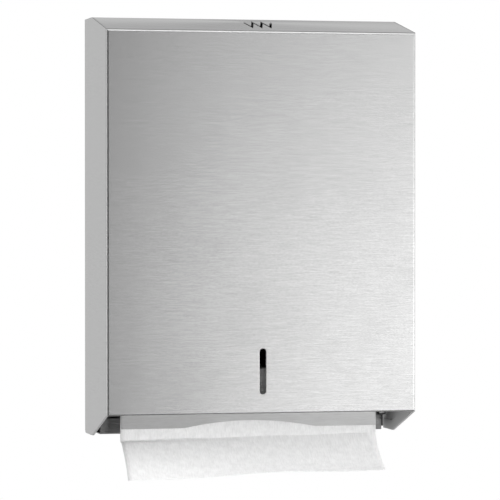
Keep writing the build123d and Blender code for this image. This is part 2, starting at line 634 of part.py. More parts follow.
def towel_stack():
    """Low stack of interfolded towels whose folds bulge at the front and rear."""
    fold = STACK_HEIGHT / STACK_FOLDS
    bottom = REST_TOP + PAPER_GAP
    top = bottom + STACK_HEIGHT
    front_valley = STACK_FRONT + fold * FOLD_BULGE
    rear_valley = STACK_BACK - fold * FOLD_BULGE
    edges = []
    for i in range(STACK_FOLDS):
        low = bottom + i * fold
        for valley, crest in ((front_valley, STACK_FRONT), (rear_valley, STACK_BACK)):
            edges += ThreePointArc((valley, low), (crest, low + fold / 2), (valley, low + fold)).edges()
    edges += Line((front_valley, bottom), (rear_valley, bottom)).edges()
    edges += Line((front_valley, top), (rear_valley, top)).edges()
    return across(make_face(edges), -TOWEL_WIDTH / 2, TOWEL_WIDTH / 2)


def next_towel():
    """Panel of the next towel, hanging straight down the throat just behind the lip."""
    top = REST_TOP
    bottom = -BAND_BELOW_EDGE
    rear = BAND_FRONT + PAPER_PLY
    panel = outline([(BAND_FRONT, bottom), (BAND_FRONT, top), (rear, top), (rear, bottom)])
    sheet = across(panel, -TOWEL_WIDTH / 2, TOWEL_WIDTH / 2)
    return fillet(sheet.edges().filter_by(Axis.X).group_by(Axis.Z)[0], PAPER_ROUND)


def leading_towel():
    """Leading towel: down the throat behind the next one, then forwards and down in a lean."""
    path = [(LEAD_FACE, REST_TOP), (LEAD_FACE, -BAND_BELOW_EDGE - LEAD_BEND / 2), (-LEAD_FRONT, -LEAD_DROP)]
    sheet = across(bent_band(path, PAPER_PLY, LEAD_BEND, Side.LEFT), -TOWEL_WIDTH / 2, TOWEL_WIDTH / 2)
    skew = outline([(-CASE_HALF, -LEAD_DROP - LEAD_SKEW), (CASE_HALF, -LEAD_DROP + LEAD_SKEW),
                    (CASE_HALF, -2 * LEAD_DROP), (-CASE_HALF, -2 * LEAD_DROP)])
    return sheet - backwards(skew, CASE_FRONT, 0)


def pair(name, right_part):
    """A right-hand piece and its mirror image, under their node names."""
    return {f"right_{name}": right_part, f"left_{name}": mirror(right_part, about=Plane.YZ)}


def all_parts():
    """Every piece of the dispenser under its node name."""
    parts = {
        "front_cover": front_cover(),
        "latch_keeper": latch_keeper(),
        "back_plate": back_plate(),
        "front_towel_rest": front_towel_rest(),
        "rear_towel_rest": rear_towel_rest(),
        "latch_bracket": latch_bracket(),
        "latch_pin": latch_pin(),
        "latch_pin_clip": latch_pin_clip(),
        "latch_lever": latch_lever(),
        "latch_catch": latch_catch(),
        "latch_spring": latch_spring(),
        "towel_stack": towel_stack(),
        "next_towel": next_towel(),
        "leading_towel": leading_towel(),
    }
    parts.update(pair("hinge_ear", hinge_ear()))
    parts.update(pair("hinge_bracket", hinge_bracket()))
    parts.update(pair("hinge_pin", hinge_pin()))
    parts.update(pair("hinge_washer", hinge_washer()))
    parts.update(pair("hinge_clip", hinge_clip()))
    parts.update(pair("towel_guide", towel_guide()))
    return parts


os.makedirs("parts", exist_ok=True)
for node, piece in all_parts().items():
    placed = Pos(0, 0, -SCREW_PATTERN_HEIGHT) * piece
    placed.label = node
    export_step(placed, f"parts/{node}.step")
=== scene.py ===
import json
import logging
import math
from dataclasses import dataclass, field
from enum import Enum
from typing import Callable, Optional, Sequence, Union

import bpy
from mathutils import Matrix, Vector


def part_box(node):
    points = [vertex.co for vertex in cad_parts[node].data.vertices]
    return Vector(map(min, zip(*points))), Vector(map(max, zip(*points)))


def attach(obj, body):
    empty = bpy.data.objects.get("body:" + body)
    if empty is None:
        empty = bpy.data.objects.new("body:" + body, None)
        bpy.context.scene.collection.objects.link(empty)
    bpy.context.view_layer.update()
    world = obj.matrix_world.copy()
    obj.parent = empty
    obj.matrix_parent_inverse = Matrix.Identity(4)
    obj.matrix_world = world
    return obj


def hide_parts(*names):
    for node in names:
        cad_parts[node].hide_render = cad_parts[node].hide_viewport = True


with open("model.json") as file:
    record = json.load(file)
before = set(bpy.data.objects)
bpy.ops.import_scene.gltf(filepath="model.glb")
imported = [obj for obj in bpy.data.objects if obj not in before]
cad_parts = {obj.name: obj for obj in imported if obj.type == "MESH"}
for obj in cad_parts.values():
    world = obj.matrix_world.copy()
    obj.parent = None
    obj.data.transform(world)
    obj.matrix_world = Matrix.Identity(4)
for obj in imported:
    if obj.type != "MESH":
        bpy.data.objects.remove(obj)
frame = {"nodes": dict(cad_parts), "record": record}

LOG = logging.getLogger("towel_dispenser")
MM = 0.001
DATUM = 190.0
HEM_LINE = 22.0
SQUARE_ON = 0.9
LEVEL_FACE = 0.75
QUARTER_TURN = 0.25

Point = tuple[float, float, float]
Colour = tuple[float, float, float, float]
Profile = list[tuple[float, float]]
Socket = bpy.types.NodeSocket
Value = Union[Socket, float]
Inputs = dict[Union[str, int], object]


def at(x: float, y: float, z: float) -> Vector:
    """Turns a cabinet position into the row frame.

    Args:
        x: millimetres right of the centre line.
        y: millimetres from the wall plane, negative towards the room.
        z: millimetres above the cover's lowest edge.

    Returns:
        The same place in metres, measured from the wall screw pattern's centre.
    """
    return Vector((x, y, z - DATUM)) * MM


def grey(level: float) -> Colour:
    """Makes a neutral colour of one level."""
    return level, level, level, 1.0


class Body(Enum):
    """The bodies that move on their own."""

    CABINET = "cabinet"
    COVER = "cover"
    LATCH = "latch"


class Slot(Enum):
    """The material slots of the record."""

    COVER_STEEL = "cover_steel"
    PLATE_STEEL = "plate_steel"
    INNER_STEEL = "inner_steel"
    REST_STEEL = "rest_steel"
    PIN_STEEL = "pin_steel"
    SPRING_STEEL = "spring_steel"
    WASHER_NYLON = "washer_nylon"
    PAPER = "paper"


class Mix(Enum):
    """What a Mix node blends: its data type, and the numbers of its first input and its output."""

    NUMBER = ("FLOAT", 2, 0)
    VECTOR = ("VECTOR", 4, 1)
    COLOUR = ("RGBA", 6, 2)


class NodeTree:
    """Thin wrapper that adds and wires nodes of a shader, world or geometry tree."""

    def __init__(self, tree: bpy.types.NodeTree) -> None:
        """Wraps a tree.

        Args:
            tree: the tree that nodes are added to.
        """
        self.tree = tree

    def wire(self, source: Socket, target: Socket) -> None:
        """Links an output to an input."""
        self.tree.links.new(source, target)

    def feed(self, node: bpy.types.Node, values: Inputs) -> None:
        """Gives inputs, by name or number, a socket to link or a plain value."""
        for key, value in values.items():
            if isinstance(value, Socket):
                self.wire(value, node.inputs[key])
            else:
                node.inputs[key].default_value = value

    def add(self, kind: str, values: Optional[Inputs] = None, **settings: object) -> bpy.types.Node:
        """Adds a node.

        Args:
            kind: the node's type name.
            values: a socket or a plain value for each input that needs one.
            settings: properties set on the node itself, before its inputs.

        Returns:
            The new node.
        """
        node = self.tree.nodes.new(kind)
        for name, value in settings.items():
            setattr(node, name, value)
        self.feed(node, values or {})
        return node

    def group(self, tree: bpy.types.NodeTree, values: Inputs) -> bpy.types.NodeOutputs:
        """Places a shared shader group and returns its outputs."""
        return self.add("ShaderNodeGroup", values, node_tree=tree).outputs

    def math(self, operation: str, first: Value, second: Value = 0.0) -> Socket:
        """Works out an operation on one or two sockets or numbers."""
        return self.add("ShaderNodeMath", {0: first, 1: second}, operation=operation).outputs[0]

    def ramp(self, value: Socket, low: float, high: float, to_low: float, to_high: float,
             smooth: bool = False) -> Socket:
        """Maps a value from one range to another, clamped.

        Args:
            value: the socket that is mapped.
            low: start of the range it is taken from.
            high: end of that range.
            to_low: result at the start.
            to_high: result at the end.
            smooth: whether the change eases in and out.

        Returns:
            The result's socket.
        """
        ranges = {"Value": value, "From Min": low, "From Max": high, "To Min": to_low, "To Max": to_high}
        easing = "SMOOTHSTEP" if smooth else "LINEAR"
        return self.add("ShaderNodeMapRange", ranges, interpolation_type=easing).outputs["Result"]

    def noise(self, vector: Socket, scale: Value, detail: float = 2.0, roughness: float = 0.5) -> Socket:
        """Adds a noise texture and returns its value socket."""
        values = {"Vector": vector, "Scale": scale, "Detail": detail, "Roughness": roughness}
        return self.add("ShaderNodeTexNoise", values).outputs["Fac"]

    def stretched(self, vector: Socket, scale: Point) -> Socket:
        """Scales a coordinate by a different amount on each axis."""
        return self.add("ShaderNodeMapping", {"Vector": vector, "Scale": scale}).outputs["Vector"]

    def split(self, vector: Socket) -> bpy.types.NodeOutputs:
        """Takes a vector apart into outputs named X, Y and Z."""
        return self.add("ShaderNodeSeparateXYZ", {0: vector}).outputs

    def join(self, x: Value = 0.0, y: Value = 0.0, z: Value = 0.0) -> Socket:
        """Puts a vector together."""
        return self.add("ShaderNodeCombineXYZ", {0: x, 1: y, 2: z}).outputs[0]

    def mix(self, kind: Mix, factor: Value, first: object, second: object) -> Socket:
        """Blends two sockets or plain values by a factor."""
        data_type, entry, result = kind.value
        values = {0: factor, entry: first, entry + 1: second}
        return self.add("ShaderNodeMix", values, data_type=data_type).outputs[result]


def new_group(name: str, inputs: Sequence[tuple[str, str, float]], outputs: Sequence[tuple[str, str]],
              ) -> tuple[NodeTree, bpy.types.NodeOutputs, bpy.types.NodeInputs]:
    """Starts a shader node group.

    Args:
        name: the group's name.
        inputs: name, socket type and default of each input.
        outputs: name and socket type of each output.

    Returns:
        The wrapped tree, what comes into it and what goes out of it.
    """
    tree = bpy.data.node_groups.new(name, "ShaderNodeTree")
    for label, kind, default in inputs:
        socket = tree.interface.new_socket(label, in_out="INPUT", socket_type=kind)
        if kind == "NodeSocketFloat":
            socket.default_value = default
    for label, kind in outputs:
        tree.interface.new_socket(label, in_out="OUTPUT", socket_type=kind)
    nodes = NodeTree(tree)
    return nodes, nodes.add("NodeGroupInput").outputs, nodes.add("NodeGroupOutput").inputs


class SurfaceGroups:
    """The shader node groups that several finishes share."""

    def __init__(self) -> None:
        """Builds each group once."""
        self.brushed = self._brushed_grain()
        self.handling = self._handling_marks()
        self.creped = self._creped_paper()
        self.cover_edges = self._cover_edges()

    @staticmethod
    def _brushed_grain() -> bpy.types.NodeTree:
        """Builds the grain of a brushed sheet.

        Returns:
            A group that puts out a streak value around 0.5 and a height. Lines run along X on
            faces that look up, down, forwards or backwards, and along Y on the sides.
        """
        nodes, given, result = new_group(
            "brushed_grain",
            [("Place", "NodeSocketVector", 0.0), ("Facing", "NodeSocketVector", 0.0),
             ("Lines per Metre", "NodeSocketFloat", 2500.0), ("Line Length", "NodeSocketFloat", 0.03)],
            [("Streak", "NodeSocketFloat"), ("Height", "NodeSocketFloat")])
        place = nodes.split(given["Place"])
        facing = nodes.split(given["Facing"])
        level = nodes.math("GREATER_THAN", nodes.math("ABSOLUTE", facing["Z"]), LEVEL_FACE)
        along, across = nodes.math("DIVIDE", 1.0, given["Line Length"]), given["Lines per Metre"]
        x = nodes.math("MULTIPLY", place["X"], along)
        depth, height = nodes.math("MULTIPLY", place["Y"], along), nodes.math("MULTIPLY", place["Z"], across)
        upright = nodes.join(x, depth, height)
        flat = nodes.join(x, nodes.math("MULTIPLY", place["Y"], across))
        lines = nodes.mix(Mix.VECTOR, level, upright, flat)
        fine = nodes.noise(lines, 1.0, 2.0, 0.6)
        dashes = nodes.noise(nodes.stretched(lines, (8.0, 8.0, 0.46)), 1.0, 2.0, 0.5)
        nodes.wire(nodes.mix(Mix.NUMBER, 0.4, fine, dashes), result["Streak"])
        nodes.wire(fine, result["Height"])
        return nodes.tree

    @staticmethod
    def _handling_marks() -> bpy.types.NodeTree:
        """Builds soft patches of wiped polish and dust.

        Returns:
            A group that puts out a mask from 0 to 1.
        """
        nodes, given, result = new_group(
            "handling_marks",
            [("Place", "NodeSocketVector", 0.0), ("Patches per Metre", "NodeSocketFloat", 14.0)],
            [("Mask", "NodeSocketFloat")])
        cloud = nodes.noise(given["Place"], given["Patches per Metre"], 4.0, 0.62)
        nodes.wire(nodes.ramp(cloud, 0.42, 0.72, 0.0, 1.0, smooth=True), result["Mask"])
        return nodes.tree

    @staticmethod
    def _creped_paper() -> bpy.types.NodeTree:
        """Builds the fine upright crepe and cloudy fibre of towel paper.

        Returns:
            A group that puts out a height and a cloud value.
        """
        nodes, given, result = new_group(
            "creped_paper",
            [("Sheet", "NodeSocketVector", 0.0), ("Ridges per Metre", "NodeSocketFloat", 700.0)],
            [("Height", "NodeSocketFloat"), ("Cloud", "NodeSocketFloat")])
        sheet, ridges = nodes.split(given["Sheet"]), given["Ridges per Metre"]
        across = nodes.math("MULTIPLY", sheet["X"], ridges)
        down = nodes.math("MULTIPLY", sheet["Y"], nodes.math("MULTIPLY", ridges, 0.22))
        grid = nodes.join(across, down)
        crepe = nodes.noise(grid, 1.0, 3.0, 0.55)
        fibres = nodes.noise(given["Sheet"], 2600.0, 3.0, 0.6)
        nodes.wire(nodes.mix(Mix.NUMBER, 0.2, crepe, fibres), result["Height"])
        nodes.wire(nodes.noise(given["Sheet"], 160.0, 4.0, 0.6), result["Cloud"])
        return nodes.tree

    @staticmethod
    def _cover_edges() -> bpy.types.NodeTree:
        """Builds the mask of the cover's inside and the masks of painted shade in its open top seams and
        along its lower hem.

        Returns:
            A group that tells whether a place is inside, and how strongly painted shade darkens it in a seam
            or along the hem.
        """
        nodes, given, result = new_group(
            "cover_edges", [("Place", "NodeSocketVector", 0.0), ("Facing", "NodeSocketVector", 0.0)],
            [("Inside", "NodeSocketFloat"), ("Shade", "NodeSocketFloat")])
        low, high = (Vector(corner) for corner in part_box("front_cover"))
        outwards = nodes.add(
            "ShaderNodeVectorMath", {0: given["Place"], 1: (low + high) / 2}, operation="SUBTRACT")
        facing = nodes.add(
            "ShaderNodeVectorMath", {0: outwards.outputs[0], 1: given["Facing"]}, operation="DOT_PRODUCT")
        nodes.wire(nodes.math("LESS_THAN", facing.outputs["Value"], 0.0), result["Inside"])
        place, aim = nodes.split(given["Place"]), nodes.split(given["Facing"])
        off_centre = nodes.math("ABSOLUTE", place["X"])
        # Painted shade: a dark line along the open seams where the top meets the sides.
        beside = nodes.ramp(off_centre, high.x - 0.9 * MM, high.x - 0.5 * MM, 0.0, 0.9)
        seam = nodes.math("MULTIPLY", beside, nodes.math("GREATER_THAN", aim["Z"], SQUARE_ON))
        # Painted shade: a dark line just above the front's lower edge, standing for the shade under the
        # rolled hem.
        hem_z = at(0, 0, HEM_LINE).z
        line = nodes.ramp(place["Z"], hem_z + 0.4 * MM, hem_z + 1.1 * MM, 0.85, 0.0, smooth=True)
        hem = nodes.math("MULTIPLY", line, nodes.math("LESS_THAN", aim["Y"], -SQUARE_ON))
        nodes.wire(nodes.math("MAXIMUM", seam, hem), result["Shade"])
        return nodes.tree


def start_material(name: str) -> tuple[bpy.types.Material, NodeTree, bpy.types.Node]:
    """Starts a material.

    Args:
        name: the material's name.

    Returns:
        The material, its wrapped tree and its Principled node.
    """
    material = bpy.data.materials.new(name)
    material.use_nodes = True
    return material, NodeTree(material.node_tree), material.node_tree.nodes["Principled BSDF"]


def add_bump(nodes: NodeTree, shader: bpy.types.Node, height: Socket, distance: float, strength: float,
             under: Optional[Inputs] = None) -> None:
    """Feeds a height through a Bump node to a shader's normal.

    Args:
        nodes: the material's tree.
        shader: the Principled node.
        height: the height's socket.
        distance: depth of the relief in metres.
        strength: how much of the relief is used.
        under: further inputs of the Bump node, such as the normal that it works on.
    """
    values = {"Height": height, "Distance": distance, "Strength": strength, **(under or {})}
    nodes.wire(nodes.add("ShaderNodeBump", values).outputs["Normal"], shader.inputs["Normal"])


@dataclass(frozen=True)
class SteelFinish:
    """Stainless sheet, from strongly brushed to plain mill finish."""

    name: str
    slot: Slot
    light: Colour = grey(0.7)
    dark: Colour = grey(0.6)
    smooth: float = 0.17
    rough: float = 0.21
    anisotropic: float = 0.92
    lines_per_metre: float = 2600.0
    line_length: float = 0.018
    grain_depth: float = 0.00002
    grain_strength: float = 0.05
    marks: float = 0.015
    edge_radius: float = 0.0008
    inside_colour: Colour = grey(0.62)
    inside_rough: float = 0.5
    inside_metallic: float = 0.35
    # Near-black colour of the painted shade in the cover's seams and along its hem.
    painted_shade_colour: Colour = grey(0.06)

    def build(self, groups: SurfaceGroups) -> bpy.types.Material:
        """Builds the material.

        Args:
            groups: the shared shader node groups.

        Returns:
            The finished material.
        """
        material, nodes, shader = start_material(self.name)
        place = nodes.add("ShaderNodeTexCoord").outputs
        grain = nodes.group(groups.brushed, {
            "Place": place["Object"], "Facing": place["Normal"], "Lines per Metre": self.lines_per_metre,
            "Line Length": self.line_length})
        handled = nodes.group(groups.handling, {"Place": place["Object"]})["Mask"]
        bright = nodes.ramp(grain["Streak"], 0.34, 0.66, 0.0, 1.0)
        colour = nodes.mix(Mix.COLOUR, bright, self.dark, self.light)
        polish = nodes.ramp(grain["Streak"], 0.3, 0.7, self.rough, self.smooth)
        rough = nodes.math("ADD", polish, nodes.math("MULTIPLY", handled, self.marks))
        tangent = nodes.add("ShaderNodeTangent", direction_type="RADIAL", axis="Z").outputs[0]
        nodes.feed(shader, {
            "Base Color": colour, "Roughness": rough, "Metallic": 1.0, "Anisotropic": self.anisotropic,
            "Anisotropic Rotation": QUARTER_TURN, "Tangent": tangent})
        if self.slot is Slot.COVER_STEEL:
            edges = nodes.group(groups.cover_edges, {"Place": place["Object"], "Facing": place["Normal"]})
            nodes.feed(shader, self._dull_inside(nodes, edges, colour, rough))
        rolled = nodes.add("ShaderNodeBevel", {"Radius": self.edge_radius}, samples=6).outputs["Normal"]
        add_bump(nodes, shader, grain["Height"], self.grain_depth, self.grain_strength, {"Normal": rolled})
        return material

    def _dull_inside(self, nodes: NodeTree, edges: bpy.types.NodeOutputs, colour: Socket,
                     rough: Socket) -> Inputs:
        """Leaves the cover's inside in dull mill finish and paints shade into its open seams and along its
        hem.

        Args:
            nodes: the material's tree.
            edges: the outputs of the cover edges group.
            colour: the outside's colour.
            rough: the outside's roughness.

        Returns:
            The shader's inputs that this changes.
        """
        inside = edges["Inside"]
        mill = nodes.mix(Mix.COLOUR, inside, colour, self.inside_colour)
        # Painted shade: the seam and hem masks darken the colour towards near black.
        return {"Base Color": nodes.mix(Mix.COLOUR, edges["Shade"], mill, self.painted_shade_colour),
                "Roughness": nodes.mix(Mix.NUMBER, inside, rough, self.inside_rough),
                "Metallic": nodes.ramp(inside, 0.0, 1.0, 1.0, self.inside_metallic)}


@dataclass(frozen=True)
class TurnedFinish:
    """Bright turned pins, drawn spring wire and pressed clips."""

    name: str
    slot: Slot
    light: Colour = grey(0.74)
    dark: Colour = grey(0.6)
    smooth: float = 0.16
    rough: float = 0.28
    marks_per_metre: float = 900.0

    def build(self, groups: SurfaceGroups) -> bpy.types.Material:
        """Builds the material.

        Args:
            groups: the shared shader node groups.

        Returns:
            The finished material.
        """
        material, nodes, shader = start_material(self.name)
        place = nodes.add("ShaderNodeTexCoord").outputs["Object"]
        turning = nodes.noise(nodes.stretched(place, (8.0, 1.0, 1.0)), self.marks_per_metre, 3.0)
        handled = nodes.group(groups.handling, {"Place": place, "Patches per Metre": 300.0})["Mask"]
        nodes.feed(shader, {
            "Base Color": nodes.mix(Mix.COLOUR, handled, self.light, self.dark),
            "Roughness": nodes.ramp(turning, 0.3, 0.7, self.smooth, self.rough), "Metallic": 1.0})
        add_bump(nodes, shader, turning, 0.00002, 0.4)
        return material


@dataclass(frozen=True)
class NylonFinish:
    """Natural nylon of the hinge washers."""

    name: str
    slot: Slot
    light: Colour = (0.86, 0.86, 0.82, 1.0)
    dark: Colour = (0.74, 0.74, 0.7, 1.0)

    def build(self, groups: SurfaceGroups) -> bpy.types.Material:
        """Builds the material.

        Args:
            groups: the shared shader node groups.

        Returns:
            The finished material.
        """
        material, nodes, shader = start_material(self.name)
        place = nodes.add("ShaderNodeTexCoord").outputs["Object"]
        handled = nodes.group(groups.handling, {"Place": place, "Patches per Metre": 260.0})["Mask"]
        grain = nodes.noise(place, 2400.0, 3.0)
        nodes.feed(shader, {
            "Base Color": nodes.mix(Mix.COLOUR, handled, self.light, self.dark),
            "Roughness": nodes.ramp(grain, 0.3, 0.7, 0.42, 0.58),
            "Subsurface Weight": 0.1, "Subsurface Radius": (0.001, 0.001, 0.001)})
        add_bump(nodes, shader, grain, 0.00002, 0.3)
        return material


@dataclass(frozen=True)
class PaperFinish:
    """Creped white towel paper."""

    name: str
    slot: Slot
    light: Colour = grey(0.94)
    dark: Colour = grey(0.8)
    ridges_per_metre: float = 800.0
    crepe_depth: float = 0.0006

    def build(self, groups: SurfaceGroups) -> bpy.types.Material:
        """Builds the material.

        Args:
            groups: the shared shader node groups.

        Returns:
            The finished material.
        """
        material, nodes, shader = start_material(self.name)
        place = nodes.add("ShaderNodeUVMap", uv_map="sheet").outputs["UV"]
        crepe = nodes.group(groups.creped, {"Sheet": place, "Ridges per Metre": self.ridges_per_metre})
        tone = nodes.mix(Mix.NUMBER, 0.4, crepe["Height"], crepe["Cloud"])
        pale = nodes.ramp(tone, 0.36, 0.62, 0.0, 1.0)
        nodes.feed(shader, {
            "Base Color": nodes.mix(Mix.COLOUR, pale, self.dark, self.light),
            "Roughness": nodes.ramp(crepe["Cloud"], 0.3, 0.7, 0.86, 0.96), "Specular IOR Level": 0.2})
        add_bump(nodes, shader, crepe["Height"], self.crepe_depth, 0.8)
        return material


Finish = SteelFinish | TurnedFinish | NylonFinish | PaperFinish

FINISHES: tuple[Finish, ...] = (
    SteelFinish("cover_brushed_steel", Slot.COVER_STEEL),
    # Back plate: mill steel painted far darker than its own tone, as painted shade for the inside of the
    # cabinet.
    SteelFinish("plate_mill_steel_darkened_as_shade", Slot.PLATE_STEEL, light=grey(0.27), dark=grey(0.21), smooth=0.22,
                rough=0.32, anisotropic=0.5, lines_per_metre=1400.0, line_length=0.08, marks=0.12),
    # Inner parts: mill steel's own grey, set darker as partly painted shade for the inside of the cabinet.
    SteelFinish("inner_mill_steel_darkened_as_shade", Slot.INNER_STEEL, light=grey(0.46), dark=grey(0.36), smooth=0.22,
                rough=0.32, anisotropic=0.5, lines_per_metre=1800.0, line_length=0.05, marks=0.1),
    SteelFinish("rest_brushed_steel", Slot.REST_STEEL, light=grey(0.69), smooth=0.28, rough=0.38,
                anisotropic=0.6, line_length=0.06),
    TurnedFinish("turned_pin_steel", Slot.PIN_STEEL),
    TurnedFinish("drawn_spring_steel", Slot.SPRING_STEEL, light=grey(0.56), dark=grey(0.42), smooth=0.24,
                 rough=0.36),
    NylonFinish("washer_nylon", Slot.WASHER_NYLON),
    PaperFinish("towel_paper", Slot.PAPER),
)


class FinishBook:
    """Every finish of the dispenser as a built material."""

    def __init__(self) -> None:
        """Builds the shared groups and then each material."""
        groups = SurfaceGroups()
        self.materials = {finish.slot: finish.build(groups) for finish in FINISHES}

    def dress(self, piece: bpy.types.Object, slot: Slot) -> None:
        """Gives a piece one finish in place of those it came with.

        Args:
            piece: the object that is dressed.
            slot: the record's slot whose finish it gets.
        """
        piece.data.materials.clear()
        piece.data.materials.append(self.materials[slot])


def mesh_object(name: str, vertices: Sequence[Sequence[float]],
                faces: Sequence[Sequence[int]]) -> bpy.types.Object:
    """Makes an object of a mesh.

    Args:
        name: the object's name.
        vertices: places in metres, in the row frame.
        faces: vertex numbers of each face.

    Returns:
        The object, linked to the scene.
    """
    mesh = bpy.data.meshes.new(name)
    mesh.from_pydata([tuple(v) for v in vertices], [], [tuple(f) for f in faces])
    mesh.update()
    piece = bpy.data.objects.new(name, mesh)
    bpy.context.scene.collection.objects.link(piece)
    return piece


def bake_modifiers(piece: bpy.types.Object) -> bpy.types.Object:
    """Turns a piece's modifiers into plain mesh.

    Args:
        piece: the object with its modifiers.

    Returns:
        The same object with the result as its mesh and no modifier left.
    """
    bpy.context.view_layer.update()
    evaluated = piece.evaluated_get(bpy.context.evaluated_depsgraph_get())
    finished = bpy.data.meshes.new_from_object(evaluated)
    piece.modifiers.clear()
    piece.data = finished
    finished.name = piece.name
    return piece


class GeometryTree:
    """A geometry node tree with named inputs, ending in Realize Instances and Set Material."""

    def __init__(self, name: str, inputs: Sequence[tuple[str, str]]) -> None:
        """Starts the tree.

        Args:
            name: the tree's name.
            inputs: name and socket type of each input after the geometry and the material.
        """
        tree = bpy.data.node_groups.new(name, "GeometryNodeTree")
        entries = (("Geometry", "NodeSocketGeometry"), ("Material", "NodeSocketMaterial"), *inputs)
        for label, kind in entries:
            tree.interface.new_socket(label, in_out="INPUT", socket_type=kind)
        tree.interface.new_socket("Geometry", in_out="OUTPUT", socket_type="NodeSocketGeometry")
        self.nodes = NodeTree(tree)
        self.given = self.nodes.add("NodeGroupInput").outputs

    def finish(self, geometry: Socket) -> None:
        """Ends the tree by realising the instances and setting the material.

        Args:
            geometry: the socket with the instances.
        """
        realised = self.nodes.add("GeometryNodeRealizeInstances", {0: geometry})
        painted = self.nodes.add("GeometryNodeSetMaterial", {
            "Geometry": realised.outputs[0], "Material": self.given["Material"]})
        self.nodes.add("NodeGroupOutput", {0: painted.outputs[0]})

    def run(self, piece: bpy.types.Object, values: dict[str, object]) -> bpy.types.Object:
        """Runs the tree on an object.

        Args:
            piece: the object whose mesh enters the tree.
            values: the inputs' values by name.

        Returns:
            The object with the result as a plain mesh.
        """
        modifier = piece.modifiers.new("nodes", "NODES")
        modifier.node_group = self.nodes.tree
        for item in self.nodes.tree.interface.items_tree:
            if item.item_type == "SOCKET" and item.in_out == "INPUT" and item.name in values:
                modifier[item.identifier] = values[item.name]
        return bake_modifiers(piece)


def pile_tree() -> GeometryTree:
    """Builds the tree that piles up one folded towel.

    Returns:
        A tree that repeats the incoming sheet upwards, turns every second one round and shifts
        each a little, with a fixed seed.
    """
    pile = GeometryTree("pile_of_folded_towels", [
        ("Towels", "NodeSocketInt"), ("Pitch", "NodeSocketFloat"), ("Lowest", "NodeSocketVector"),
        ("Depth Shift", "NodeSocketFloat"), ("Side Shift", "NodeSocketFloat"), ("Seed", "NodeSocketInt")])
    nodes, given = pile.nodes, pile.given
    line = nodes.add("GeometryNodeMeshLine", {
        "Count": given["Towels"], "Start Location": given["Lowest"], "Offset": nodes.join(z=given["Pitch"])},
        mode="OFFSET", count_mode="TOTAL")
    limit = nodes.join(given["Side Shift"], given["Depth Shift"])
    opposite = nodes.add("ShaderNodeVectorMath", {0: limit, "Scale": -1.0}, operation="SCALE")
    shift = nodes.add("FunctionNodeRandomValue", {
        "Min": opposite.outputs[0], "Max": limit, "Seed": given["Seed"]}, data_type="FLOAT_VECTOR")
    shaken = nodes.add("GeometryNodeSetPosition", {"Geometry": line.outputs[0], "Offset": shift.outputs[0]})
    odd = nodes.math("MODULO", nodes.add("GeometryNodeInputIndex").outputs[0], 2.0)
    copies = nodes.add("GeometryNodeInstanceOnPoints", {
        "Points": shaken.outputs[0], "Instance": given["Geometry"],
        "Rotation": nodes.join(z=nodes.math("MULTIPLY", odd, math.pi))})
    pile.finish(copies.outputs[0])
    return pile


def weld_tree() -> GeometryTree:
    """Builds the tree that sets a shallow spot weld on each point.

    Returns:
        A tree that reads each point's facing from the attribute of that name.
    """
    welds = GeometryTree("spot_welds", [
        ("Radius", "NodeSocketFloat"), ("Rise", "NodeSocketFloat"), ("Seed", "NodeSocketInt")])
    nodes, given = welds.nodes, welds.given
    dimple = nodes.add("GeometryNodeMeshCone", {
        "Vertices": 20, "Side Segments": 1, "Fill Segments": 1, "Radius Bottom": given["Radius"],
        "Radius Top": nodes.math("MULTIPLY", given["Radius"], 0.72), "Depth": given["Rise"]})
    facing = nodes.add("GeometryNodeInputNamedAttribute", {"Name": "facing"}, data_type="FLOAT_VECTOR")
    aim = nodes.add("FunctionNodeAlignRotationToVector", {"Vector": facing.outputs[0]}, axis="Z")
    size = nodes.add("FunctionNodeRandomValue", {2: 0.85, 3: 1.1, "Seed": given["Seed"]}, data_type="FLOAT")
    copies = nodes.add("GeometryNodeInstanceOnPoints", {
        "Points": given["Geometry"], "Instance": dimple.outputs["Mesh"], "Rotation": aim.outputs[0],
        "Scale": nodes.join(size.outputs[1], size.outputs[1], 1.0)})
    welds.finish(copies.outputs[0])
    return welds


def resampled(points: Profile, step: float) -> Profile:
    """Puts points at an even step along a line through given points.

    Args:
        points: the line's corners, in millimetres.
        step: about the distance between new points.

    Returns:
        The new points, the two ends among them.
    """
    lengths = [0.0]
    for (y0, z0), (y1, z1) in zip(points, points[1:]):
        lengths.append(lengths[-1] + math.hypot(y1 - y0, z1 - z0))
    count = max(2, round(lengths[-1] / step))
    made: Profile = []
    run = 0
    for i in range(count + 1):
        goal = lengths[-1] * i / count
        while run < len(points) - 2 and lengths[run + 1] < goal:
            run += 1
        share = (goal - lengths[run]) / (lengths[run + 1] - lengths[run])
        (y0, z0), (y1, z1) = points[run], points[run + 1]
        made.append((y0 + (y1 - y0) * share, z0 + (z1 - z0) * share))
    return made


def through(points: Profile, per_run: int) -> Profile:
    """Runs a smooth curve through points.

    Args:
        points: the places that the curve passes.
        per_run: how many steps each run gets.

    Returns:
        Points along the curve.
    """
    padded = [points[0], *points, points[-1]]
    made: Profile = []
    for a, b, c, d in zip(padded, padded[1:], padded[2:], padded[3:]):
        for i in range(per_run):
            t = i / per_run
            made.append(tuple(
                0.5 * (2 * q + (r - p) * t + (2 * p - 5 * q + 4 * r - s) * t ** 2
                       + (3 * q - p - 3 * r + s) * t ** 3)
                for p, q, r, s in zip(a, b, c, d)))
    return made + [points[-1]]


def half_turn(y: float, low: float, high: float, rearwards: bool, steps: int = 6) -> Profile:
    """Makes the rounded nose of a fold between two heights.

    Args:
        y: depth where the nose starts.
        low: height of the run that enters the fold.
        high: height of the run that leaves it.
        rearwards: whether the nose points to the wall.
        steps: how many steps the nose gets.

    Returns:
        Points round the nose.
    """
    radius = (high - low) / 2
    sign = 1.0 if rearwards else -1.0
    angles = [math.pi * i / steps for i in range(steps + 1)]
    return [(y + sign * abs(radius) * math.sin(angle), low + radius * (1 - math.cos(angle)))
            for angle in angles]


